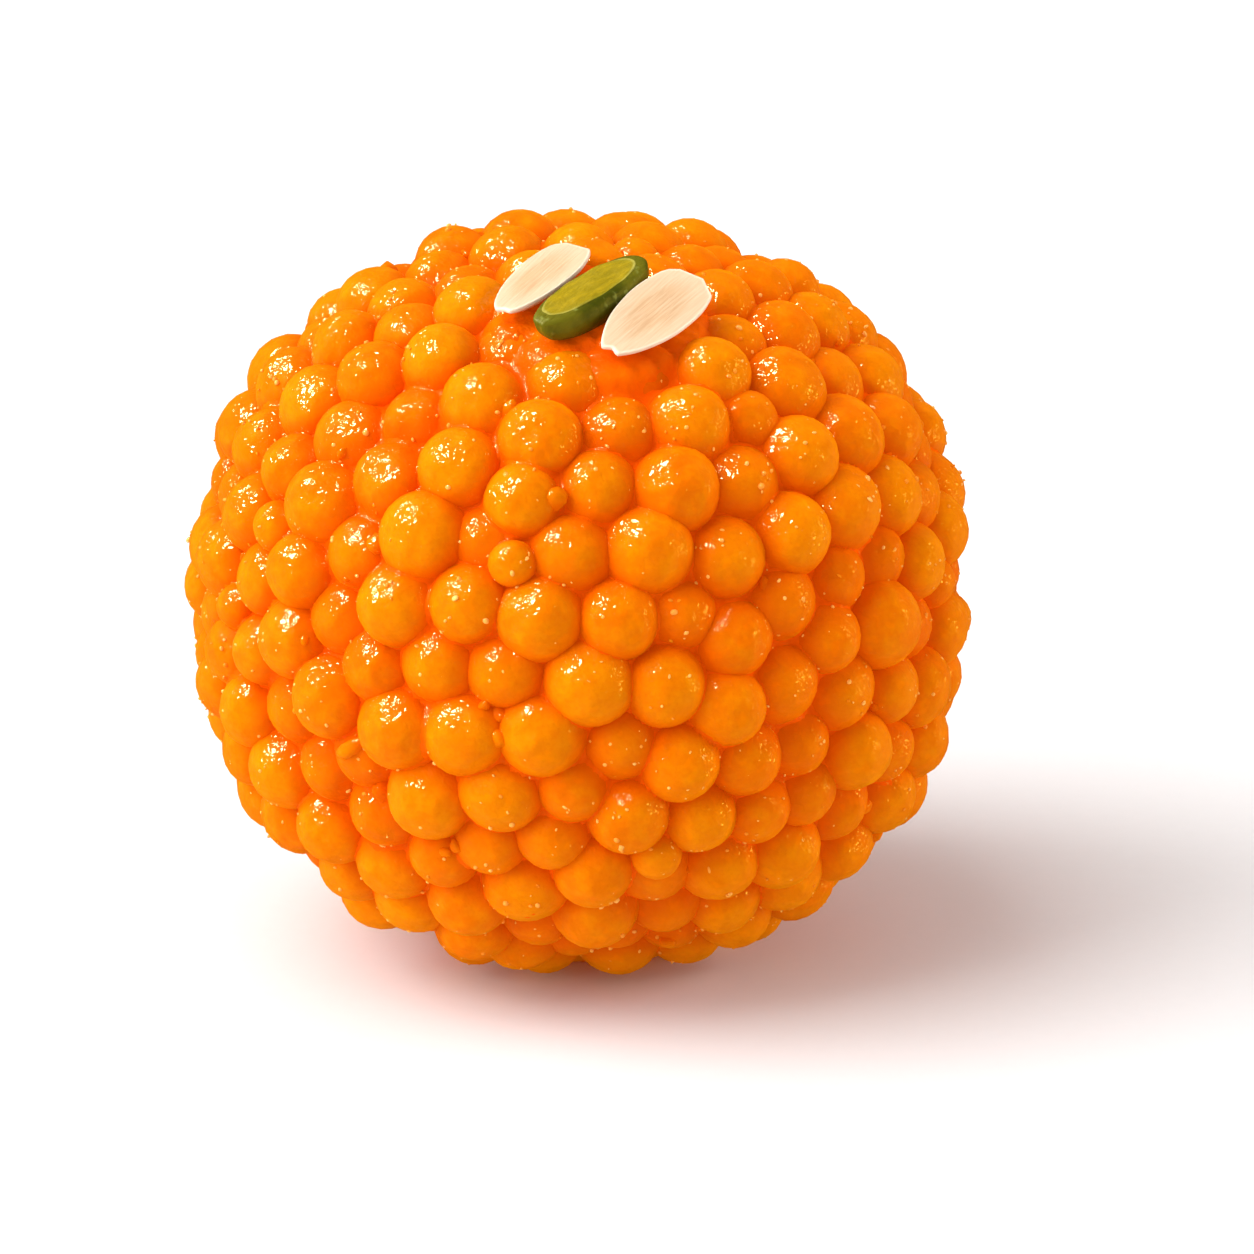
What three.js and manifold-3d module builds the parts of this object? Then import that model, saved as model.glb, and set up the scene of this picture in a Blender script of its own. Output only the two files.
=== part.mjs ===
// Boondi ladoo: a hand-pressed ball of small fried gram-flour beads bound with sugar syrup, with two
// melon seeds and half a pistachio pressed into its top. Millimetres, +Z up. The origin is the centre
// of the flat spot that the ball rests on, and the toppings lean towards -Y, its front.
import * as THREE from "three";
import { mergeVertices } from "three/addons/utils/BufferGeometryUtils.js";
import Module from "manifold-3d";

const wasm = await Module();
wasm.setup();

// Driving dimensions.
const BALL = {
  radius: 25.3, // centre to the outermost tips of the beads, level with the centre
  halfHeight: 24.0, // centre to the topmost tips
  fullness: 2.2, // exponent of the outline: 2 is an ellipse, and more fills its shoulders
  centreHeight: 23.0, // centre above the floor: the lowest millimetre is pressed flat
  coreDepth: 2.3, // from the tips down to the syrup-bound mass between the beads
  footRadius: 6.5, // the mass pressed flat on the floor
};
const BEADS = {
  count: 306,
  radius: [2.3, 2.78], // most of the beads
  smallRadius: [1.35, 1.95], // drips that fried smaller
  smallShare: 0.16,
  depth: [0, 1.15], // how far a tip lies under the ball's outline
  smallDepth: [0.4, 1.2],
  scatter: 0.13, // how far a bead starts from its even place, as a share of the ball's radius
  spacing: 1.08, // how far apart two beads push each other, as a share of the sum of their radii
  pushes: 150,
  pushShare: 0.2, // of what a pair lacks in spacing, made up at each push
  sides: 5,
  smallSides: 4,
};
const TOPPING_GAP = 0.4; // between a topping and the beads under it
const PRESS_STEP = 0.05; // how far a bead under a topping is pressed in at a time

// Toppings. Lean is the angle from the top of the ball and bearing the direction of that lean, and
// heading is the direction of the long axis, both seen from above and counted from +X. Roll turns a
// topping about its long axis, pitch lifts its +X end, and sink is how far the middle of its
// underside lies under the ball's outline. The widest place of a seed is counted from its tip.
const TOPPINGS = {
  melon_seed_left: {
    ...{ length: 8.9, width: 4.0, thickness: 1.3, widest: 0.6 },
    ...{ lean: 20.3, bearing: -107, heading: 59, roll: -9, pitch: -3.5, sink: 1.2 },
  },
  melon_seed_right: {
    ...{ length: 9.5, width: 4.4, thickness: 1.4, widest: 0.6 },
    ...{ lean: 30.3, bearing: -69, heading: 59, roll: -7, pitch: 2.5, sink: 1.2 },
  },
  pistachio_half: {
    ...{ length: 9.8, width: 3.1, thickness: 2.2, crown: 0.15 },
    ...{ lean: 26, bearing: -89, heading: 51, roll: 3.5, pitch: -4, sink: 1.6 },
  },
};

const COLOURS = { boondi: 0xf58410, seed: 0xf6e4c4, pistachio: 0x8c8f1e };
const UP = new THREE.Vector3(0, 0, 1);
const { degToRad } = THREE.MathUtils;

// A repeatable draw from 0 to 1 for item number `item` and property number `property`.
function draw(item, property) {
  const wave = Math.sin(item * 12.9898 + property * 78.233) * 43758.5453;
  return wave - Math.floor(wave);
}

const between = ([low, high], share) => low + (high - low) * share;

// Distance from the ball's centre to its outline along a unit vector: a superellipse turned
// round the upright axis.
function outline(direction) {
  const level = Math.hypot(direction.x, direction.y) / BALL.radius;
  const upright = Math.abs(direction.z) / BALL.halfHeight;
  return (level ** BALL.fullness + upright ** BALL.fullness) ** (-1 / BALL.fullness);
}

// A closed geometry as a manifold-3d solid, with its shared vertices merged.
function solidOf(geometry) {
  const bare = geometry.clone();
  bare.deleteAttribute("normal");
  bare.deleteAttribute("uv");
  const merged = mergeVertices(bare, 1e-4);
  const corners = Array.from(merged.index.array);
  const faces = [];
  for (let i = 0; i < corners.length; i += 3) {
    const [a, b, c] = corners.slice(i, i + 3);
    if (a !== b && b !== c && c !== a) faces.push(a, b, c);
  }
  return new wasm.Manifold(
    new wasm.Mesh({
      numProp: 3,
      vertProperties: merged.attributes.position.array,
      triVerts: new Uint32Array(faces),
    }),
  );
}

function geometryOf(solid) {
  const mesh = solid.getMesh();
  return new THREE.BufferGeometry()
    .setAttribute("position", new THREE.BufferAttribute(mesh.vertProperties, 3))
    .setIndex(new THREE.BufferAttribute(mesh.triVerts, 1));
}

// The points of a geometry, as vectors.
function pointsOf(geometry) {
  const { position } = geometry.attributes;
  const point = (_, i) => new THREE.Vector3().fromBufferAttribute(position, i);
  return Array.from({ length: position.count }, point);
}

// A sphere with its poles on the X axis, each of its points moved to where `shape` puts it. `shape`
// is given the place along the axis, from -1 to 1, and the angle round it.
function reshapedSphere(around, along, shape) {
  const geometry = new THREE.SphereGeometry(1, around, along).rotateZ(-Math.PI / 2);
  const { position } = geometry.attributes;
  pointsOf(geometry).forEach(({ x, y, z }, i) => {
    position.setXYZ(i, ...shape(THREE.MathUtils.clamp(x, -1, 1), Math.atan2(z, y)));
  });
  geometry.computeVertexNormals();
  return geometry;
}

// A power that keeps the sign: it squares a round section off when the exponent is under 1.
const signedPower = (value, exponent) => Math.sign(value) * Math.abs(value) ** exponent;

// Melon seed: flat and oval, pointed at -X, round at +X. Its underside is at z = 0. A taper over 1
// draws an end out to a point, and one under 1 makes it blunt.
function seedGeometry({ length, width, thickness, widest }) {
  const tipTaper = 1.25;
  const endTaper = 0.8;
  const tipSide = length * widest;
  const endSide = length - tipSide;
  return reshapedSphere(16, 10, (along, angle) => {
    const ring = Math.sqrt(1 - along * along);
    const broad = along < 0 ? ring ** tipTaper : ring ** endTaper;
    const x = (along < 0 ? tipSide : endSide) * along + tipSide - length / 2;
    const y = (width / 2) * broad * signedPower(Math.cos(angle), 0.8);
    const z = (thickness / 2) * (1 + Math.sqrt(ring) * signedPower(Math.sin(angle), 0.6));
    return [x, y, z];
  });
}

// Half a pistachio kernel, its cut face up and nearly flat, its belly on z = 0.
function nutGeometry({ length, width, thickness, crown }) {
  const tipTaper = 1.1;
  const endTaper = 0.85;
  return reshapedSphere(16, 10, (along, angle) => {
    const ring = Math.sqrt(1 - along * along);
    const broad = along < 0 ? ring ** tipTaper : ring ** endTaper;
    const up = Math.sin(angle);
    const x = (length / 2) * along;
    const y = (width / 2) * broad * signedPower(Math.cos(angle), 0.75);
    const belly = thickness * ring ** 0.7 * signedPower(up, 0.7);
    const z = thickness + (up > 0 ? crown * ring * up : belly);
    return [x, y, z];
  });
}

// The turn and place of a topping on the ball.
function seat({ lean, bearing, heading, roll, pitch, sink }) {
  const normal = UP.clone()
    .applyAxisAngle(new THREE.Vector3(0, 1, 0), degToRad(lean))
    .applyAxisAngle(UP, degToRad(bearing));
  const place = normal.clone().multiplyScalar(outline(normal) - sink);
  const long = new THREE.Vector3(1, 0, 0).applyAxisAngle(UP, degToRad(heading));
  long.addScaledVector(normal, -long.dot(normal)).normalize();
  const broad = normal.clone().cross(long);
  const tilt = new THREE.Euler(degToRad(roll), degToRad(-pitch), 0);
  return new THREE.Matrix4()
    .makeBasis(long, broad, normal)
    .multiply(new THREE.Matrix4().makeRotationFromEuler(tilt))
    .setPosition(place);
}

// Number `i` of the beads where it starts: spread evenly on a spiral round the ball, a little
// scattered. Its depth stays nearer the shallow end of its range.
function looseBead(i) {
  const goldenAngle = Math.PI * (3 - Math.sqrt(5));
  const small = draw(i, 1) < BEADS.smallShare;
  const up = 1 - (2 * (i + 0.5)) / BEADS.count;
  const centre = new THREE.Vector3(Math.sqrt(1 - up * up), 0, up).applyAxisAngle(UP, i * goldenAngle);
  const scatter = new THREE.Vector3(draw(i, 4), draw(i, 5), draw(i, 6)).subScalar(0.5);
  return {
    small,
    radius: between(small ? BEADS.smallRadius : BEADS.radius, draw(i, 2)),
    depth: between(small ? BEADS.smallDepth : BEADS.depth, draw(i, 3) ** 1.5),
    centre: centre.addScaledVector(scatter, 2 * BEADS.scatter),
    push: new THREE.Vector3(),
  };
}

// Brings a bead back to its own depth under the ball's outline.
function settle(bead) {
  const direction = bead.centre.clone().normalize();
  bead.centre.copy(direction).multiplyScalar(outline(direction) - bead.depth - bead.radius);
}

// The beads packed round the ball: those that crowd each other are pushed apart again and again.
// Those next to a topping rise to the outline, and it presses them in till they clear it.
function packedBeads(toppingPoints) {
  const beads = Array.from({ length: BEADS.count }, (_, i) => looseBead(i));
  beads.forEach(settle);
  for (let push = 0; push < BEADS.pushes; push++) {
    for (const bead of beads) {
      bead.push.set(0, 0, 0);
      for (const other of beads) {
        const apart = bead.centre.clone().sub(other.centre);
        const lack = BEADS.spacing * (bead.radius + other.radius) - apart.length();
        if (lack > 0) bead.push.addScaledVector(apart.normalize(), BEADS.pushShare * lack);
      }
    }
    for (const bead of beads) {
      bead.centre.add(bead.push);
      settle(bead);
    }
  }
  for (const bead of beads) {
    const outward = bead.centre.clone().normalize();
    const meetsTopping = (room) =>
      toppingPoints.some((point) => point.distanceTo(bead.centre) < bead.radius + TOPPING_GAP + room);
    if (meetsTopping(bead.depth)) bead.centre.addScaledVector(outward, bead.depth);
    while (meetsTopping(0)) bead.centre.addScaledVector(outward, -PRESS_STEP);
  }
  return beads;
}

// One bead with few sides, its pole turned outwards and its lower part a cone inside the ball. The
// angles of its rings of corners are counted from that pole.
function beadGeometry({ small, centre, radius }, spin) {
  const rings = small ? [180, 75, 0] : [180, 90, 45, 0];
  const profile = rings.map((angle) => {
    const polar = degToRad(angle);
    return new THREE.Vector2(radius * Math.abs(Math.sin(polar)), radius * Math.cos(polar));
  });
  const outward = centre.clone().normalize();
  const turn = new THREE.Quaternion().setFromUnitVectors(new THREE.Vector3(0, 1, 0), outward);
  return new THREE.LatheGeometry(profile, small ? BEADS.smallSides : BEADS.sides, spin)
    .applyQuaternion(turn)
    .translate(centre.x, centre.y, centre.z);
}

// The syrup-bound mass that the beads sit in, with its foot.
function coreSolid() {
  const core = new THREE.IcosahedronGeometry(1, 2);
  const { position } = core.attributes;
  pointsOf(core).forEach((point, i) => {
    const direction = point.normalize();
    const reach = outline(direction) - BALL.coreDepth;
    position.setXYZ(i, direction.x * reach, direction.y * reach, direction.z * reach);
  });
  const foot = new THREE.CylinderGeometry(BALL.footRadius, BALL.footRadius, BALL.centreHeight, 24)
    .rotateX(Math.PI / 2)
    .translate(0, 0, -BALL.centreHeight);
  return solidOf(core).add(solidOf(foot));
}

// Everything under the floor, to be cut away.
function belowFloor() {
  const size = 4 * BALL.radius;
  const block = new THREE.BoxGeometry(size, size, size);
  return solidOf(block.translate(0, 0, -BALL.centreHeight - size / 2));
}

// The ball: core and beads joined, pressed flat where it rests. Its largest skin alone is kept, which
// fills any hollow that the joined beads closed and drops any loose scrap.
function ballGeometry(toppingPoints) {
  const joined = packedBeads(toppingPoints).reduce(
    (body, bead, i) => body.add(solidOf(beadGeometry(bead, draw(i, 7)))),
    coreSolid(),
  );
  const skins = joined.subtract(belowFloor()).decompose();
  skins.sort((a, b) => b.volume() - a.volume());
  return geometryOf(skins[0]);
}

function namedMesh(name, geometry, color, roughness) {
  const material = new THREE.MeshStandardMaterial({ color, roughness, metalness: 0 });
  const mesh = new THREE.Mesh(geometry, material);
  mesh.name = name;
  return mesh;
}

const leftSeed = seedGeometry(TOPPINGS.melon_seed_left).applyMatrix4(seat(TOPPINGS.melon_seed_left));
const rightSeed = seedGeometry(TOPPINGS.melon_seed_right).applyMatrix4(seat(TOPPINGS.melon_seed_right));
const pistachio = nutGeometry(TOPPINGS.pistachio_half).applyMatrix4(seat(TOPPINGS.pistachio_half));
const ball = ballGeometry([leftSeed, rightSeed, pistachio].flatMap(pointsOf));

// The pieces are made round the ball's centre, and the group stands them on the floor.
const ladoo = new THREE.Group();
ladoo.position.z = BALL.centreHeight;
ladoo.add(
  namedMesh("boondi_ball", ball, COLOURS.boondi, 0.25),
  namedMesh("melon_seed_left", leftSeed, COLOURS.seed, 0.6),
  namedMesh("melon_seed_right", rightSeed, COLOURS.seed, 0.6),
  namedMesh("pistachio_half", pistachio, COLOURS.pistachio, 0.45),
);

const part = new THREE.Group();
part.add(ladoo);

export default part;
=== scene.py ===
from math import pi, radians, sqrt

import bpy
import numpy as np
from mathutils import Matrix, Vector


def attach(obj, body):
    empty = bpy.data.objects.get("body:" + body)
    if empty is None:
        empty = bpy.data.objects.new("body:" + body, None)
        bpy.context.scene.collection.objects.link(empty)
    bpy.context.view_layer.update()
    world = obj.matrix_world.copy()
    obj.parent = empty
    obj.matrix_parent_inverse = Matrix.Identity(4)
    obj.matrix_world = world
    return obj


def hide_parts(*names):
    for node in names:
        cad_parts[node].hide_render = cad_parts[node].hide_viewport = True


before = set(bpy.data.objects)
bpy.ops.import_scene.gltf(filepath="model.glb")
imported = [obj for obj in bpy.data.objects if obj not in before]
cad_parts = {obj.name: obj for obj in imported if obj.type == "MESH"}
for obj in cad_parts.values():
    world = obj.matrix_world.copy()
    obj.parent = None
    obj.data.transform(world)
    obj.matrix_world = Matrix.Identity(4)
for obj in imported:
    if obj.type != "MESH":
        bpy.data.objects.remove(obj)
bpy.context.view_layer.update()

# ---------------------------------------------------------------------------------------------
# Boondi. Little beads of gram-flour batter, dripped through a sieve into hot fat, soaked in
# orange sugar syrup and pressed by hand into a ball, which the syrup holds together. Shapes are
# worked out in millimetres from the middle of the ball.
# ---------------------------------------------------------------------------------------------

MILLIMETRE = 0.001
BALL_CENTRE = np.array([0, 0, 23.0])
BALL_RADIUS = 25.3
BALL_HALF_HEIGHT = 24.0
BALL_FULLNESS = 2.2

# Three kinds of bead: small drips, beads sunk in and beads that stand proud. Each row has a
# kind's limits, and the shares count up from one kind to the next.
BEADS = 380
SHARE_UP_TO = np.array([0.06, 0.46, 1.0])
KIND_RADIUS = np.array([[1.35, 1.95], [2.2, 2.6], [2.35, 2.75]])
KIND_DEPTH = np.array([[0.2, 0.9], [0.5, 1.4], [0.0, 0.3]])
SCATTER = 0.26
SPACING = 1.08
PUSHES = 150
PUSH_SHARE = 0.2

TOPPINGS = ("melon_seed_left", "melon_seed_right", "pistachio_half")
TOPPING_GAP = 0.4
PRESS_STEP = 0.05

# The swell makes up for what the rounding of so coarse a mesh takes off.
BEAD_GRID = 3
BEAD_PUFF = 1.055
BEAD_SWELL = 1.082
BEAD_OVAL = 0.025
MOST_OVAL = 1.5
BEAD_LUMPS = 0.015
LUMP_WAVES = np.array([[2.5, 1.5, 0], [0, -2, 4]])

PALE_BEAD = (0.69, 0.17, 0.0004, 1)
DEEP_BEAD = (0.67, 0.11, 0.0003, 1)
BEAD_MOTTLE = (0.76, 0.25, 0.001, 1)
BEAD_GRAIN = (0.6, 0.09, 0.0003, 1)
# Painted light: the brighter orange down each bead's flank.
PAINTED_FLANK_LIGHT = (0.72, 0.14, 0.0003, 1)
# Painted shade: the darker red deep between the beads.
PAINTED_HOLLOW_SHADE = (0.64, 0.085, 0.0002, 1)
BEAD_TINT = (1.0, 0.55, 0.05, 1)
BEAD_SHEEN = (1.0, 0.38, 0.0, 1)
# The glow colours are painted light; the one deep between the beads is dimmer, as painted shade.
GLOW_OUTSIDE = (0.9, 0.26, 0.0, 1)
GLOW_IN_HOLLOW = (0.8, 0.135, 0.0, 1)
GLOW = 0.17
PAINTED_SHADE_DEPTHS = (0.3, 2.0)
DENTS = 420
DENT_RISE = 0.0007

GLAZE_COLOUR = (1.0, 0.93, 0.5, 1)
GLAZE_ON_BEADS = 0.055
WRINKLES = 2300
WRINKLE_RISE = 0.0002
WRINKLE_RISE_BELOW = 0.00004
WET_PATCHES = 1100


def draw(item, matter):
    """A repeatable number from 0 to 1 for each item: what is left after the whole part of a steep
    sine. The matter tells apart the things that are drawn for one item."""
    wave = np.sin(item * 12.9898 + matter * 78.233) * 43758.5453
    return wave - np.floor(wave)


def between(limits, share):
    """The value that lies at that share of the way from the first limit to the second."""
    return limits[0] + (limits[1] - limits[0]) * share


def unit(vectors):
    """Each vector divided by its length."""
    return vectors / np.linalg.norm(vectors, axis=-1, keepdims=True)


def outline(directions):
    """How far the ball reaches along each direction: a superellipse turned round the upright."""
    level = np.hypot(directions[..., 0], directions[..., 1]) / BALL_RADIUS
    upright = np.abs(directions[..., 2]) / BALL_HALF_HEIGHT
    return (level**BALL_FULLNESS + upright**BALL_FULLNESS) ** (-1 / BALL_FULLNESS)


def topping_points():
    """Every corner of the three pieces that are pressed into the top, from the ball's centre."""
    corners = []
    for name in TOPPINGS:
        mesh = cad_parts[name].data
        flat = np.zeros(3 * len(mesh.vertices), np.float32)
        mesh.vertices.foreach_get("co", flat)
        corners.append(flat.reshape(-1, 3) / MILLIMETRE - BALL_CENTRE)
    return np.concatenate(corners)


def packed_beads():
    """Centres and radii of the beads. They start evenly on a spiral from pole to pole, each a
    golden angle past the last, and a little scattered. Those nearer than their spacing push each
    other apart and settle back to their own depth, again and again. A bead under a topping is
    then pressed in until the topping clears it."""
    item = np.arange(BEADS)
    kind = np.searchsorted(SHARE_UP_TO, draw(item, 1))
    radius = between(KIND_RADIUS[kind].T, draw(item, 2))
    depth = between(KIND_DEPTH[kind].T, draw(item, 3))
    up = 1 - 2 * (item + 0.5) / BEADS
    turn = item * pi * (3 - sqrt(5))
    level = np.sqrt(1 - up * up)
    even = np.stack([level * np.cos(turn), level * np.sin(turn), up], 1)
    stray = np.stack([draw(item, 4), draw(item, 5), draw(item, 6)], 1) - 0.5
    outward = unit(even + SCATTER * stray)
    centre = outward * (outline(outward) - depth - radius)[:, None]
    room = SPACING * (radius[:, None] + radius[None])
    np.fill_diagonal(room, 0)
    for _ in range(PUSHES):
        apart = centre[:, None] - centre[None]
        distance = np.linalg.norm(apart, axis=2) + np.eye(BEADS)
        lack = np.maximum(room - distance, 0)
        centre = centre + PUSH_SHARE * (apart * (lack / distance)[..., None]).sum(1)
        outward = unit(centre)
        centre = outward * (outline(outward) - depth - radius)[:, None]
    pressing = topping_points()

    def clearance():
        gaps = np.linalg.norm(pressing[None] - centre[:, None], axis=2)
        return gaps.min(1) - radius - TOPPING_GAP

    rises = clearance() < depth
    centre = centre + outward * (depth * rises)[:, None]
    while (clearance() < 0).any():
        centre = centre - outward * (PRESS_STEP * (clearance() < 0))[:, None]
    return centre, radius


def round_grid(cells):
    """Directions spread over a ball as on a blown-up cube: a square grid on each of six sides,
    its lines bent by the tangent of their angle, and each point brought to length one. Points
    that two sides share are one point. Returns them with their four-cornered faces."""
    line = np.tan(np.linspace(-pi / 4, pi / 4, cells + 1))
    u, v = np.meshgrid(line, line, indexing="ij")
    one = np.ones_like(u)
    sides = ((u, v, one), (v, u, -one), (one, u, v), (-one, v, u), (v, one, u), (u, -one, v))
    points = unit(np.concatenate([np.stack(side, -1).reshape(-1, 3) for side in sides]))
    corner = np.arange((cells + 1) ** 2).reshape(cells + 1, cells + 1)
    loop = (corner[:-1, :-1], corner[1:, :-1], corner[1:, 1:], corner[:-1, 1:])
    quads = np.stack(loop, -1).reshape(-1, 4)
    faces = np.concatenate([quads + side * (cells + 1) ** 2 for side in range(6)])
    _, first, shared = np.unique(points.round(6), axis=0, return_index=True, return_inverse=True)
    return points[first], shared.reshape(-1)[faces]


def piece(name, points, faces, **measures):
    """A smooth mesh of points in millimetres from the ball's centre. Each measure is kept with
    its points as an attribute that the material can read."""
    mesh = bpy.data.meshes.new(name)
    placed = (points + BALL_CENTRE) * MILLIMETRE
    mesh.from_pydata(placed, [], faces)
    mesh.polygons.foreach_set("use_smooth", np.ones(len(faces), bool))
    for measure, values in measures.items():
        kept = mesh.attributes.new(measure, "FLOAT", "POINT")
        kept.data.foreach_set("value", np.asarray(values, np.float32))
    made = bpy.data.objects.new(name, mesh)
    bpy.context.scene.collection.objects.link(made)
    return made


def above_floor(points, lowest=0.0):
    """Points under the floor are pressed up flat onto it."""
    pressed = points.copy()
    pressed[..., 2] = np.maximum(pressed[..., 2], lowest - BALL_CENTRE[2])
    return pressed


def bead_heap(name, centre, radius, tone, seed, grid=BEAD_GRID, oval=BEAD_OVAL, lumps=BEAD_LUMPS):
    """Beads as one mesh. Each is a ball stretched by its own share along three directions of its
    own, and the sum of two slow sine waves swells it or draws it in. Depth is how far a point
    lies under the ball's outline, tip how far it stands out of its bead's middle, in radii."""
    rng = np.random.default_rng(seed)
    directions, faces = round_grid(grid)
    count = len(radius)
    turns = np.linalg.qr(rng.normal(size=(count, 3, 3)))[0]
    turns *= np.linalg.det(turns)[:, None, None]
    stretch = 1 + oval * rng.normal(size=(count, 1, 3)).clip(-MOST_OVAL, MOST_OVAL)
    phase = rng.uniform(0, 2 * pi, (2, count, 1))
    waves = np.sin((LUMP_WAVES @ directions.T)[:, None] + phase).sum(0)
    reach = BEAD_SWELL * radius[:, None] * (1 + lumps * waves)
    skin = (directions * stretch * reach[..., None]) @ turns
    points = above_floor(centre[:, None] + skin).reshape(-1, 3)
    first_points = len(directions) * np.arange(count)
    all_faces = (faces[None] + first_points[:, None, None]).reshape(-1, 4)
    depth = outline(unit(points)) - np.linalg.norm(points, axis=1)
    tip = (skin * unit(centre)[:, None]).sum(2) / radius[:, None]
    tone = np.repeat(tone, len(directions))
    return piece(name, points, all_faces, tone=tone, depth=depth, tip=tip.reshape(-1))


bead_centres, bead_radii = packed_beads()
bead_radii = BEAD_PUFF * bead_radii
bead_tones = draw(np.arange(BEADS), 8)
beads = bead_heap("boondi_beads", bead_centres, bead_radii, bead_tones, seed=11)
rounding = beads.modifiers.new("round", "SUBSURF")
rounding.levels = rounding.render_levels = 1


class Value:
    """A socket that takes part in sums: each operator adds the Math node that works it out."""

    def __init__(self, paint, socket):
        self.paint, self.socket = paint, socket

    def __add__(self, other):
        return self.paint.math("ADD", self, other)

    def __sub__(self, other):
        return self.paint.math("SUBTRACT", self, other)

    def __rsub__(self, other):
        return self.paint.math("SUBTRACT", other, self)

    def __mul__(self, other):
        return self.paint.math("MULTIPLY", self, other)

    __radd__ = __add__
    __rmul__ = __mul__


class Paint:
    """The nodes of one material."""

    def __init__(self, name):
        self.material = bpy.data.materials.new(name)
        self.material.use_nodes = True
        self.tree = self.material.node_tree
        self.tree.nodes.clear()

    def node(self, kind, settings=None, sockets=None, output=0):
        """Adds a node, sets its settings, then gives each socket its value or its link."""
        made = self.tree.nodes.new("ShaderNode" + kind)
        for name, value in (settings or {}).items():
            setattr(made, name, value)
        for name, value in (sockets or {}).items():
            if isinstance(value, Value):
                self.tree.links.new(value.socket, made.inputs[name])
            else:
                made.inputs[name].default_value = value
        return Value(self, made.outputs[output]) if made.outputs else made

    def math(self, operation, a, b):
        return self.node("Math", {"operation": operation}, {0: a, 1: b})

    def mix(self, share, a, b):
        """Colour a, with that share of it gone over to colour b."""
        return self.node("Mix", {"data_type": "RGBA"}, {0: share, 6: a, 7: b}, output=2)

    def fade(self, value, start, end):
        """0 before start and 1 after end, with a smooth rise between them."""
        settings = {"interpolation_type": "SMOOTHSTEP"}
        return self.node("MapRange", settings, {"Value": value, 1: start, 2: end})

    def place(self):
        return self.node("TexCoord", output="Object")

    def measure(self, name):
        return self.node("Attribute", {"attribute_name": name}, output="Fac")

    def along_grain(self, along, across):
        """Where a point lies on a piece, stretched so that noise on it runs along the piece."""
        sockets = {0: self.measure("along") * along, 1: self.measure("across") * across}
        return self.node("CombineXYZ", sockets=sockets)

    def noise(self, where, scale, detail=2.0, roughness=0.5, distortion=0.0):
        sockets = {"Vector": where, "Scale": scale, "Detail": detail}
        sockets.update({"Roughness": roughness, "Distortion": distortion})
        return self.node("TexNoise", sockets=sockets)

    def bump(self, height, rise, under=None):
        sockets = {"Height": height, "Distance": rise}
        if under:
            sockets["Normal"] = under
        return self.node("Bump", sockets=sockets)

    def shader(self, **sockets):
        """A Principled shader. A word's underscores stand for the spaces of its socket's name."""
        named = {name.replace("_", " "): value for name, value in sockets.items()}
        return self.node("BsdfPrincipled", sockets=named)

    def finish(self, surface):
        self.node("OutputMaterial", sockets={"Surface": surface})
        return self.material


def under_glaze(paint, body, dents, share):
    """The body under a thin clear glaze of sugar that follows its dents. Where it is wet, the
    glaze gives that small share of the light back, and its wrinkles break each lamp's gleam into
    short bright dashes."""
    place = paint.place()
    wrinkles = paint.noise(place, WRINKLES, detail=1, distortion=0.3)
    glaze = paint.shader(
        Base_Color=GLAZE_COLOUR,
        Metallic=1.0,
        Roughness=0.08,
        Normal=paint.bump(wrinkles, WRINKLE_RISE, dents),
    )
    wet = paint.fade(paint.noise(place, WET_PATCHES, detail=1), 0.3, 0.42) * share
    return paint.node("MixShader", sockets={0: wet, 1: body, 2: glaze})


# Each bead has its own tone, mottled and finely grained. An even, brighter orange down its flank
# is painted light, for the light that shines through the bead's edge, and a redder, darker one
# deep between its neighbours is painted shade. The glow is painted light that stands for the light
# that the bead lets through, and it is dimmer in that painted shade.
paint = Paint("glazed boondi")
place = paint.place()
mottle = paint.noise(place, 900, detail=3)
grain = paint.noise(place, 3200, detail=2)
painted_flank_light = 1 - paint.fade(paint.measure("tip"), 0.1, 0.8)
hollow = paint.fade(paint.measure("depth"), *PAINTED_SHADE_DEPTHS)
colour = paint.mix(paint.measure("tone"), DEEP_BEAD, PALE_BEAD)
colour = paint.mix(paint.fade(mottle, 0.35, 0.75) * 0.4, colour, BEAD_MOTTLE)
colour = paint.mix(paint.fade(grain, 0.42, 0.68) * 0.25, colour, BEAD_GRAIN)
# Painted light down the flank, for the light that shines through the bead's edge.
colour = paint.mix(painted_flank_light * 0.6, colour, PAINTED_FLANK_LIGHT)
# Painted shade: darker red the deeper a point lies between the beads.
colour = paint.mix(hollow, colour, PAINTED_HOLLOW_SHADE)
dents = paint.bump(paint.noise(place, DENTS, detail=1), DENT_RISE)
wrinkles = paint.noise(place, WRINKLES, detail=1, distortion=0.3)
body = paint.shader(
    Base_Color=colour,
    Roughness=0.4,
    Specular_IOR_Level=0.03,
    Specular_Tint=BEAD_TINT,
    Sheen_Weight=0.4,
    Sheen_Roughness=0.35,
    Sheen_Tint=BEAD_SHEEN,
    Emission_Color=paint.mix(hollow, GLOW_OUTSIDE, GLOW_IN_HOLLOW),
    Emission_Strength=GLOW,
    Normal=paint.bump(wrinkles, WRINKLE_RISE_BELOW, dents),
)
boondi_finish = paint.finish(under_glaze(paint, body, dents, GLAZE_ON_BEADS))
beads.data.materials.append(boondi_finish)
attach(beads, "root")
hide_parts("boondi_ball")

# ---------------------------------------------------------------------------------------------
# Syrup. Sugar syrup that has set between the beads: it fills the ball's inside, creeps up
# where two beads touch and lies flat under the ball's foot.
# ---------------------------------------------------------------------------------------------

SYRUP_GRID = 100
SYRUP_REACH = 0.24
SYRUP_SHRINK = 0.2
SYRUP_LEVEL = 2.75
POOL = ((0.3, 6.0), (1.55, 1.2))
SYRUP_NEAREST = 14
SYRUP_START = 1.0
SYRUP_STEPS = 30
FOOT_RADIUS = 6.5
FOOT_LIFT = 0.05
TINY = 1e-6

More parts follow.
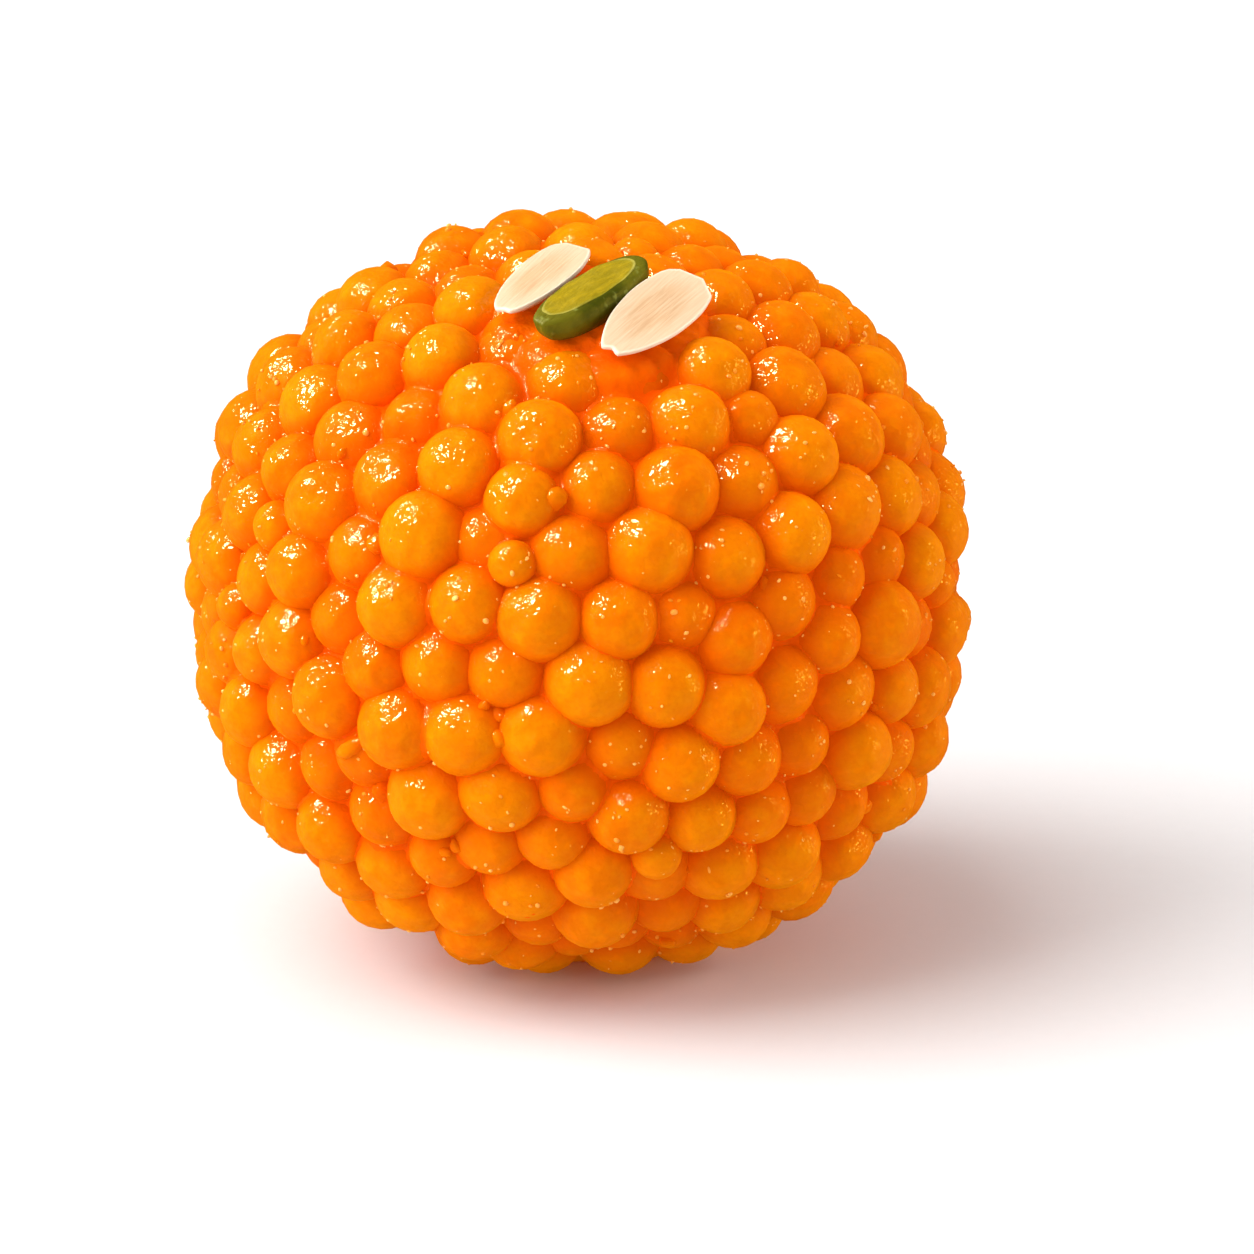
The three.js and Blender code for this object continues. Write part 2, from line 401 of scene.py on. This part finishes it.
RED_SYRUP = (0.74, 0.08, 0.0003, 1)
ORANGE_SYRUP = (0.8, 0.14, 0.0004, 1)
SYRUP_CLOUD = (0.66, 0.07, 0.0002, 1)
# Painted shade: a deeper red for syrup that lies deep between the beads.
PAINTED_SYRUP_SHADE = (0.76, 0.08, 0.0002, 1)
SYRUP_TINT = (1.0, 0.55, 0.1, 1)
# The syrup's glow is painted light, for the light that it lets through.
SYRUP_GLOW = (0.8, 0.11, 0.0, 1)
GLAZE_ON_SYRUP = 0.02


def syrup_level(directions):
    """How deep under the outline the syrup stands. It rises near the toppings, by the first
    number of each pair in the pool, and that fades with the distance over the second."""
    nearest = (directions @ unit(topping_points()).T).max(1).clip(-1, 1)
    distance = np.arccos(nearest) * BALL_RADIUS
    return SYRUP_LEVEL - sum(rise * np.exp(-((distance / fade) ** 2)) for rise, fade in POOL)


def syrup_skin(directions):
    """How far the syrup reaches along each direction. The distance to the beads and to the
    level that the inside is filled to are joined by a smooth union, minus the reach times the
    logarithm of the sum of exp(-distance / reach), and the skin lies where that is a little
    below zero. It is found by stepping inwards from the outline by the distance left."""
    farness = -directions @ unit(bead_centres).T
    near = np.argpartition(farness, SYRUP_NEAREST, axis=1)[:, :SYRUP_NEAREST]
    filled = outline(directions) - syrup_level(directions)
    reach = outline(directions) + SYRUP_START
    for _ in range(SYRUP_STEPS):
        point = directions * reach[:, None]
        apart = np.linalg.norm(point[:, None] - bead_centres[near], axis=2) - bead_radii[near]
        level = reach - filled
        summed = np.exp(-apart / SYRUP_REACH).sum(1) + np.exp(-level / SYRUP_REACH)
        reach = reach - (-SYRUP_REACH * np.log(summed) + SYRUP_SHRINK)
    return reach


directions, syrup_faces = round_grid(SYRUP_GRID)
syrup_points = directions * syrup_skin(directions)[:, None]
down = np.maximum(-directions[:, 2], TINY)
on_floor = directions * (BALL_CENTRE[2] / down)[:, None]
in_foot = (np.hypot(on_floor[:, 0], on_floor[:, 1]) < FOOT_RADIUS) & (directions[:, 2] < 0)
syrup_points = np.where(in_foot[:, None], on_floor, syrup_points)
syrup_points = above_floor(syrup_points, FOOT_LIFT)
syrup_depth = outline(directions) - np.linalg.norm(syrup_points, axis=1)
syrup = piece("syrup", syrup_points, syrup_faces, depth=syrup_depth)

paint = Paint("set syrup")
place = paint.place()
swirl = paint.noise(place, 250, detail=3)
cloud = paint.noise(place, 700, detail=3)
colour = paint.mix(paint.fade(swirl, 0.35, 0.7), RED_SYRUP, ORANGE_SYRUP)
colour = paint.mix(paint.fade(cloud, 0.4, 0.7) * 0.5, colour, SYRUP_CLOUD)
# Painted shade: the syrup turns a deeper red the deeper it lies under the ball's outline.
colour = paint.mix(paint.fade(paint.measure("depth"), 0.8, 2.8), colour, PAINTED_SYRUP_SHADE)
ripples = paint.bump(cloud, 0.0003, paint.bump(swirl, 0.0004))
body = paint.shader(
    Base_Color=colour,
    Roughness=0.3,
    Specular_IOR_Level=0.05,
    Specular_Tint=SYRUP_TINT,
    Emission_Color=SYRUP_GLOW,
    Emission_Strength=GLOW,
    Normal=ripples,
)
syrup.data.materials.append(paint.finish(under_glaze(paint, body, ripples, GLAZE_ON_SYRUP)))
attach(syrup, "root")

# ---------------------------------------------------------------------------------------------
# Crumbs. Bits of broken boondi and tails of batter, no two alike, that stick in the hollows
# between the beads.
# ---------------------------------------------------------------------------------------------

CRUMBS = 60
CRUMB_TRIES = 12
CRUMB_RADIUS = (0.3, 0.7)
CRUMB_HOLLOW = 1.4
CRUMB_LIFT = 0.35
CRUMB_SHAPE = {"oval": 0.3, "lumps": 0.15}

rng = np.random.default_rng(21)
crumb_outward = unit(rng.normal(size=(CRUMB_TRIES * CRUMBS, 3)))
crumb_reach = syrup_skin(crumb_outward)
hollow = outline(crumb_outward) - crumb_reach > CRUMB_HOLLOW
crumb_outward, crumb_reach = crumb_outward[hollow][:CRUMBS], crumb_reach[hollow][:CRUMBS]
crumb_radius = between(CRUMB_RADIUS, rng.random(len(crumb_reach)) ** 2)
crumb_centre = crumb_outward * (crumb_reach + CRUMB_LIFT * crumb_radius)[:, None]
crumb_tone = rng.random(len(crumb_reach))
crumbs = bead_heap("boondi_crumbs", crumb_centre, crumb_radius, crumb_tone, 22, **CRUMB_SHAPE)
crumbs.data.materials.append(boondi_finish)
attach(crumbs, "root")

# ---------------------------------------------------------------------------------------------
# Syrup drops. The tiniest drops of syrup, sweated out of the beads and set clear on their skins.
# They catch the light as specks.
# ---------------------------------------------------------------------------------------------

DROPS = 2600
DROP_TRIES = 3
DROP_RADIUS = (0.07, 0.17)
DROP_SPREAD = 0.75
DROP_SUNK = 0.7
DROP_SHAPE = {"grid": 2, "oval": 0.3}

DEEP_DROP = (0.8, 0.2, 0.002, 1)
PALE_DROP = (0.92, 0.5, 0.12, 1)
DROP_TINT = (1.0, 0.6, 0.1, 1)
# The drops' glow is painted light, for the light that they let through.
DROP_GLOW = (0.9, 0.3, 0.02, 1)

# A drop sits where its own bead bulges out of the syrup, clear of other beads and of toppings.
rng = np.random.default_rng(31)
host = rng.integers(BEADS, size=DROP_TRIES * DROPS)
facing = unit(unit(bead_centres[host]) + DROP_SPREAD * rng.normal(size=(len(host), 3)))
spot = bead_centres[host] + facing * bead_radii[host][:, None]
apart = np.linalg.norm(spot[:, None] - bead_centres[None], axis=2) - bead_radii
apart[np.arange(len(host)), host] = np.inf
to_topping = np.linalg.norm(spot[:, None] - topping_points()[None], axis=2).min(1)
above_syrup = np.linalg.norm(spot, axis=1) > syrup_skin(unit(spot))
clear = (apart.min(1) > 0) & (to_topping > TOPPING_GAP) & above_syrup
drop_radius = between(DROP_RADIUS, rng.random(clear.sum()) ** 2)[:DROPS]
drop_centre = spot[clear][:DROPS] - facing[clear][:DROPS] * DROP_SUNK * drop_radius[:, None]
drop_tone = rng.random(len(drop_radius))
drops = bead_heap("syrup_drops", drop_centre, drop_radius, drop_tone, 32, **DROP_SHAPE)

paint = Paint("clear syrup drop")
haze = paint.noise(paint.place(), 3000, detail=1)
body = paint.shader(
    Base_Color=paint.mix(paint.measure("tone"), DEEP_DROP, PALE_DROP),
    Roughness=0.3,
    Specular_IOR_Level=0.05,
    Specular_Tint=DROP_TINT,
    Coat_Weight=paint.fade(haze, 0.2, 0.5),
    Coat_Roughness=0.1,
    Coat_IOR=1.35,
    Emission_Color=DROP_GLOW,
    Emission_Strength=0.12,
)
drops.data.materials.append(paint.finish(body))
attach(drops, "root")

# ---------------------------------------------------------------------------------------------
# Melon seeds. Two hulled seeds, flat and cream white, with fine grooves along them, pressed into
# the syrup while it was soft. Their tips have snapped off and their round ends are chipped.
# ---------------------------------------------------------------------------------------------

# Sizes are length, width and thickness. A place is lean, bearing, heading, roll, pitch and sink.
LEFT_SIZE = (9.2, 4.15, 1.3)
LEFT_CHIPS = ((178, 4.25), (28, 4.05), (-12, 4.0))
LEFT_NOTCH = 0.1
LEFT_PLACE = (19.7, -106.5, 59, -9, -3.5, 1.2)
RIGHT_SIZE = (9.8, 4.55, 1.4)
RIGHT_CHIPS = ((184, 4.55), (40, 4.05), (8, 4.45), (-35, 4.0))
RIGHT_NOTCH = 0.25
RIGHT_PLACE = (29.4, -67.3, 59, -7, 2.5, 1.2)

AROUND = 160
RINGS = 29
WAVES_AROUND = np.array([[3], [5], [11]])
SEED_WIDEST = 0.6
SEED_TAPERS = (1.25, 0.8)
SEED_WAVE = 0.012
SEED_RIM = 0.34
SEED_EDGE = 0.3
NOTCH_WIDTH = 0.3
GROOVES = 17
GROOVE_SWAY = 2
GROOVE_DEPTH = 0.006

DARK_CREAM = (0.55, 0.33, 0.17, 1)
CREAM = (0.7, 0.47, 0.285, 1)
SEED_PATCH = (0.64, 0.36, 0.17, 1)
SEED_SCRATCH = (0.78, 0.62, 0.45, 1)
SEED_BORDER = (0.74, 0.55, 0.37, 1)
# The edge line is partly the seed's own pale edge and partly a painted highlight.
SEED_PALE_EDGE_AND_HIGHLIGHT = (0.86, 0.72, 0.54, 1)


def plan(length, width, widest, tapers, seed, wave):
    """The outline of a topping from above, its tip at -X. A sine and a cosine give an oval. A
    taper over 1 draws an end out to a point and one under 1 makes it blunt. Slow waves round it
    make it uneven."""
    angle = np.linspace(0, 2 * pi, AROUND, endpoint=False)
    far = np.cos(angle) > 0
    side = np.where(far, 1 - widest, widest) * length
    taper = np.where(far, tapers[1], tapers[0])
    x = side * np.cos(angle) + (widest - 0.5) * length
    y = width / 2 * np.sign(np.sin(angle)) * np.abs(np.sin(angle)) ** taper
    phase = np.random.default_rng(seed).uniform(0, 2 * pi, (3, 1))
    waves = np.sin(WAVES_AROUND * angle + phase) / np.sqrt(WAVES_AROUND)
    return np.stack([x, y], 1) * (1 + wave * waves.sum(0))[:, None]


def chipped(line, chips):
    """The outline with straight chips: all of it is drawn in to within a distance of the middle,
    counted along each chip's own bearing."""
    for bearing, distance in chips:
        facing = np.array([np.cos(radians(bearing)), np.sin(radians(bearing))])
        reach = (line @ facing).clip(min=TINY)
        line = line * np.minimum(1, distance / reach)[:, None]
    return line


def lidded(rings):
    """Points and faces of a closed skin over rings of points that run from the middle of its top
    to the middle of its underside, where they come together in one point."""
    count, around, values = rings.shape
    points = np.concatenate([rings[0, :1], rings[1:-1].reshape(-1, values), rings[-1, :1]])
    here = np.arange(around)
    beyond = np.roll(here, -1)
    row = 1 + around * np.arange(count - 3)[:, None]
    loop = (row + here, row + around + here, row + around + beyond, row + beyond)
    quads = np.stack(loop, -1).reshape(-1, 4)
    last = 1 + around * (count - 3)
    first_point = np.zeros_like(here)
    last_point = np.full_like(here, len(points) - 1)
    top = np.stack([first_point, 1 + here, 1 + beyond], 1)
    under = np.stack([last_point, last + beyond, last + here], 1)
    return points, quads.tolist() + top.tolist() + under.tolist()


def seated(points, lean, bearing, heading, roll, pitch, sink):
    """Points of a topping set on the ball. Lean is its angle from the top of the ball, bearing
    the direction of that lean and heading that of its long axis, both from above and from +X.
    Roll turns it about its long axis, pitch lifts its +X end, and sink is how far its underside
    lies under the ball's outline."""
    lean, bearing, heading, roll, pitch = np.radians([lean, bearing, heading, roll, pitch])
    aside = np.sin(lean)
    normal = np.array([aside * np.cos(bearing), aside * np.sin(bearing), np.cos(lean)])
    long = np.array([np.cos(heading), np.sin(heading), 0])
    long = unit(long - (long @ normal) * normal)
    basis = np.stack([long, np.cross(normal, long), normal])
    c, s = np.cos(roll), np.sin(roll)
    rolled = np.array([[1, 0, 0], [0, c, -s], [0, s, c]])
    c, s = np.cos(-pitch), np.sin(-pitch)
    pitched = np.array([[c, 0, s], [0, 1, 0], [-s, 0, c]])
    return points @ (rolled @ pitched).T @ basis + normal * (outline(normal) - sink)


def melon_seed(name, size, chips, notch, place, seed):
    """A flat top with a thin rounded rim over a bulging underside: across it, the reach is a low
    power of the sine and the height one of the cosine of an angle from top to underside. Sines
    across the top make the grooves."""
    length, width, thickness = size
    line = chipped(plan(length, width, SEED_WIDEST, SEED_TAPERS, seed, SEED_WAVE), chips)
    at_tip = (line[:, 0] < 0) * np.exp(-((line[:, 1] / NOTCH_WIDTH) ** 2))
    line = line + np.stack([notch * at_tip, np.zeros(AROUND)], 1)
    angle = np.linspace(0, pi, RINGS)
    reach = np.sin(angle).clip(0) ** SEED_EDGE
    height = np.sign(np.cos(angle)) * np.abs(np.cos(angle)) ** SEED_EDGE
    bulge = (thickness - SEED_RIM) * (height < 0) * (1 - reach**2)
    rise = thickness - SEED_RIM / 2 * (1 - height) - bulge
    level = reach[:, None, None] * line
    along, across = level[..., 0], level[..., 1]
    grooves = np.sin(2 * pi * GROOVES * across / width + GROOVE_SWAY * np.sin(along + seed))
    rise = rise[:, None] + GROOVE_DEPTH * grooves * (height > 0)[:, None]
    rim = np.repeat(reach[:, None], AROUND, axis=1)
    points, faces = lidded(np.stack([along, across, rise, along, across, rim], 2))
    along, across, rim = points[:, 3:].T
    shape = seated(points[:, :3], *place)
    return piece(name, shape, faces, along=along, across=across, rim=rim)


seed_left = melon_seed("seed_left", LEFT_SIZE, LEFT_CHIPS, LEFT_NOTCH, LEFT_PLACE, seed=3)
seed_right = melon_seed("seed_right", RIGHT_SIZE, RIGHT_CHIPS, RIGHT_NOTCH, RIGHT_PLACE, seed=5)

paint = Paint("melon seed")
stretched = paint.along_grain(0.3, 6.0)
rim = paint.measure("rim")
grain = paint.noise(stretched, 1.0, detail=4, roughness=0.6, distortion=0.4)
scratch = paint.noise(stretched, 3.0, detail=2)
patch = paint.noise(paint.place(), 350, detail=3)
colour = paint.mix(paint.fade(grain, 0.35, 0.7), DARK_CREAM, CREAM)
colour = paint.mix(paint.fade(patch, 0.45, 0.7) * 0.35, colour, SEED_PATCH)
colour = paint.mix(paint.fade(scratch, 0.68, 0.76) * 0.6, colour, SEED_SCRATCH)
colour = paint.mix(paint.fade(rim, 0.3, 1.0) * 0.6, colour, SEED_BORDER)
# The thin line at the very edge is partly the seed's own pale edge and partly a painted highlight.
colour = paint.mix(paint.fade(rim, 0.93, 0.99) * 0.85, colour, SEED_PALE_EDGE_AND_HIGHLIGHT)
body = paint.shader(
    Base_Color=colour,
    Roughness=paint.fade(grain, 0.3, 0.7) * 0.15 + 0.38,
    Specular_IOR_Level=0.2,
    Normal=paint.bump(grain, 0.00005, paint.bump(patch, 0.0001)),
)
seed_finish = paint.finish(body)
for topping, node in ((seed_left, "melon_seed_left"), (seed_right, "melon_seed_right")):
    topping.data.materials.append(seed_finish)
    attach(topping, "root")
    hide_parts(node)

# ---------------------------------------------------------------------------------------------
# Pistachio. Half a kernel, split along its length and pressed in with the cut face up. The cut
# is yellow green and waxy, the rounded back dark green under its skin.
# ---------------------------------------------------------------------------------------------

NUT_LENGTH = 9.8
NUT_WIDTH = 2.85
NUT_THICKNESS = 2.2
NUT_CROWN = 0.15
NUT_CHIPS = ((180, 4.8), (-140, 4.1))
NUT_PLACE = (25.2, -84.4, 51, -5, -4, 1.6)
NUT_WIDEST = 0.5
NUT_TAPERS = (0.9, 0.8)
NUT_BELLY = (0.8, 0.75)
NUT_WAVE = 0.015
NUT_DENTS = 0.07
FACE_RINGS = 16
SHOULDER_RINGS = 10
SHOULDER_START = 0.1
BELLY_RINGS = 16
FACE_SHARE = 0.81
FACE_SHIFT = 0.58
SHOULDER = 0.3

DARK_FLESH = (0.28, 0.2, 0.005, 1)
FLESH = (0.4, 0.27, 0.006, 1)
FLESH_BORDER = (0.2, 0.2, 0.01, 1)
# Painted highlight along the edge of the cut face.
PAINTED_RIM_HIGHLIGHT = (0.5, 0.45, 0.1, 1)
DARK_SKIN = (0.05, 0.055, 0.002, 1)
SKIN = (0.14, 0.125, 0.004, 1)
SKIN_FLECK = (0.3, 0.32, 0.06, 1)
NUT_TINT = (1.0, 0.95, 0.4, 1)

# Rings run outwards over the slightly crowned face, round the shoulder by a sine and a cosine,
# and down the belly, whose reach and height are low powers of a cosine and a sine. The face is
# shifted to one side of the belly, because the kernel didn't split through its middle.
line = plan(NUT_LENGTH, NUT_WIDTH, NUT_WIDEST, NUT_TAPERS, 8, NUT_WAVE)
line = chipped(line, NUT_CHIPS)
face_reach = np.sin(np.linspace(0, pi / 2, FACE_RINGS)) * FACE_SHARE
shoulder_angle = np.linspace(SHOULDER_START, pi / 2, SHOULDER_RINGS)
shoulder_reach = FACE_SHARE + (1 - FACE_SHARE) * np.sin(shoulder_angle)
belly_angle = np.linspace(0, pi / 2, BELLY_RINGS)[1:]
belly_reach = np.cos(belly_angle).clip(0) ** NUT_BELLY[0]
reach = np.concatenate([face_reach, shoulder_reach, belly_reach])
face_height = NUT_THICKNESS + NUT_CROWN * (1 - face_reach**2)
shoulder_height = NUT_THICKNESS - SHOULDER * (1 - np.cos(shoulder_angle))
belly_height = (NUT_THICKNESS - SHOULDER) * (1 - np.sin(belly_angle) ** NUT_BELLY[1])
height = np.concatenate([face_height, shoulder_height, belly_height])
cut = (np.arange(len(reach)) < FACE_RINGS) * 1.0
level = reach[:, None, None] * line
level[..., 1] += FACE_SHIFT * (height[:, None] / NUT_THICKNESS) ** 2
along, across = level[..., 0], level[..., 1]
dents = np.sin(1.9 * along + 1.2) * np.sin(2.3 * across + 0.7 * along)
rise = height[:, None] + NUT_DENTS * dents * cut[:, None]
rim = np.repeat(reach[:, None], AROUND, axis=1)
face = np.repeat(cut[:, None], AROUND, axis=1)
points, faces = lidded(np.stack([along, across, rise, along, across, rim, face], 2))
along, across, rim, face = points[:, 3:].T
shape = seated(points[:, :3], *NUT_PLACE)
nut = piece("nut", shape, faces, along=along, across=across, rim=rim, face=face)

paint = Paint("pistachio")
rim = paint.measure("rim")
grain = paint.noise(paint.along_grain(0.5, 2.2), 1.2, detail=4, roughness=0.6)
patch = paint.noise(paint.place(), 420, detail=3)
fleck = paint.noise(paint.place(), 1500, detail=2)
flesh = paint.mix(paint.fade(grain, 0.35, 0.7), DARK_FLESH, FLESH)
flesh = paint.mix(paint.fade(rim, 0.6, 0.95) * 0.5, flesh, FLESH_BORDER)
skin = paint.mix(paint.fade(patch, 0.35, 0.65), DARK_SKIN, SKIN)
skin = paint.mix(paint.fade(fleck, 0.6, 0.75) * 0.5, skin, SKIN_FLECK)
cut_face = paint.fade(paint.measure("face"), 0.3, 0.7)
painted_edge_highlight = paint.fade(rim, FACE_SHARE - 0.05, FACE_SHARE - 0.01) * cut_face
colour = paint.mix(cut_face, skin, flesh)
# Painted highlight: a pale broken line along the edge of the cut face.
colour = paint.mix(painted_edge_highlight * paint.fade(patch, 0.35, 0.7) * 0.6, colour, PAINTED_RIM_HIGHLIGHT)
body = paint.shader(
    Base_Color=colour,
    Roughness=paint.fade(patch, 0.3, 0.7) * 0.15 + 0.3,
    Specular_IOR_Level=0.25,
    Specular_Tint=NUT_TINT,
    Normal=paint.bump(fleck, 0.00008, paint.bump(grain, 0.00012)),
)
nut.data.materials.append(paint.finish(body))
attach(nut, "root")
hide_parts("pistachio_half")

# ---------------------------------------------------------------------------------------------
# The table and the light: a white card, an even white sky and three soft lamps, the strongest
# from the left. Two small lamps only make gleams, one from the upper left and one on the right.
# ---------------------------------------------------------------------------------------------

FLOOR_SIZE = 6.0
FLOOR_DROP = 0.0001
WHITE_CARD = (0.74, 0.73, 0.725, 1)
GREY_CARD = (0.72, 0.71, 0.705, 1)

SKY = 0.52
LAMP_DISTANCE = 2.0
GLEAM_GOLD = (1, 0.75, 0.15)

CAMERA_DISTANCE = 0.5129
CAMERA_ELEVATION = radians(18.56)
CAMERA_AIM = Vector((0.003, 0, 0.0205))
PICTURE_WIDTH = 0.08
SENSOR = 36.0

floor_mesh = bpy.data.meshes.new("floor")
x, y = np.array([(-1, -1), (1, -1), (1, 1), (-1, 1)]).T * FLOOR_SIZE / 2
corners = np.stack([x, y, np.full(4, -FLOOR_DROP)], 1)
floor_mesh.from_pydata(corners, [], [(0, 1, 2, 3)])
floor = bpy.data.objects.new("floor", floor_mesh)
bpy.context.scene.collection.objects.link(floor)
paint = Paint("white card")
card_colour = paint.mix(paint.noise(paint.place(), 900, detail=4), GREY_CARD, WHITE_CARD)
floor_mesh.materials.append(paint.finish(paint.shader(Base_Color=card_colour, Roughness=0.8)))

world = bpy.data.worlds.new("sky")
world.use_nodes = True
world.node_tree.nodes["Background"].inputs["Color"].default_value = (1, 1, 1, 1)
world.node_tree.nodes["Background"].inputs["Strength"].default_value = SKY
bpy.context.scene.world = world


def soft_lamp(name, direction, size, power, colour=(1, 1, 1)):
    """A square lamp that faces the ball's centre from that direction."""
    lamp = bpy.data.lights.new(name, "AREA")
    lamp.shape, lamp.size, lamp.energy, lamp.color = "SQUARE", size, power, colour
    holder = bpy.data.objects.new(name, lamp)
    towards = Vector(direction).normalized()
    holder.location = Vector(BALL_CENTRE) * MILLIMETRE + towards * LAMP_DISTANCE
    holder.rotation_mode = "QUATERNION"
    holder.rotation_quaternion = towards.to_track_quat("Z", "Y")
    bpy.context.scene.collection.objects.link(holder)
    return holder


key = soft_lamp("key", (-0.54, -0.1, 0.83), size=2.2, power=44)
left_fill = soft_lamp("left_fill", (-0.85, -0.2, 0.42), size=2.2, power=56)
right_strip = soft_lamp("right_strip", (0.85, 0.2, 0.25), size=1.0, power=25)
spark = soft_lamp("spark", (-0.574, -0.092, 0.81), size=0.6, power=80)
rim_spark = soft_lamp("rim_spark", (1.0, 0.0, 0.1), size=0.4, power=6, colour=GLEAM_GOLD)

# Only the two small lamps are mirrored in the glaze, and they light nothing else.
world.cycles_visibility.glossy = floor.visible_glossy = False
key.visible_glossy = left_fill.visible_glossy = right_strip.visible_glossy = False
spark.visible_diffuse = rim_spark.visible_diffuse = False

camera = bpy.data.objects.new("camera", bpy.data.cameras.new("camera"))
bpy.context.scene.collection.objects.link(camera)
away = Vector((0, -np.cos(CAMERA_ELEVATION), np.sin(CAMERA_ELEVATION)))
camera.location = Vector(BALL_CENTRE) * MILLIMETRE + away * CAMERA_DISTANCE
camera.rotation_mode = "QUATERNION"
camera.rotation_quaternion = (camera.location - CAMERA_AIM).to_track_quat("Z", "Y")
camera.data.sensor_width = SENSOR
camera.data.lens = SENSOR * CAMERA_DISTANCE / PICTURE_WIDTH
bpy.context.scene.camera = camera
bpy.context.scene.view_settings.view_transform = "Standard"
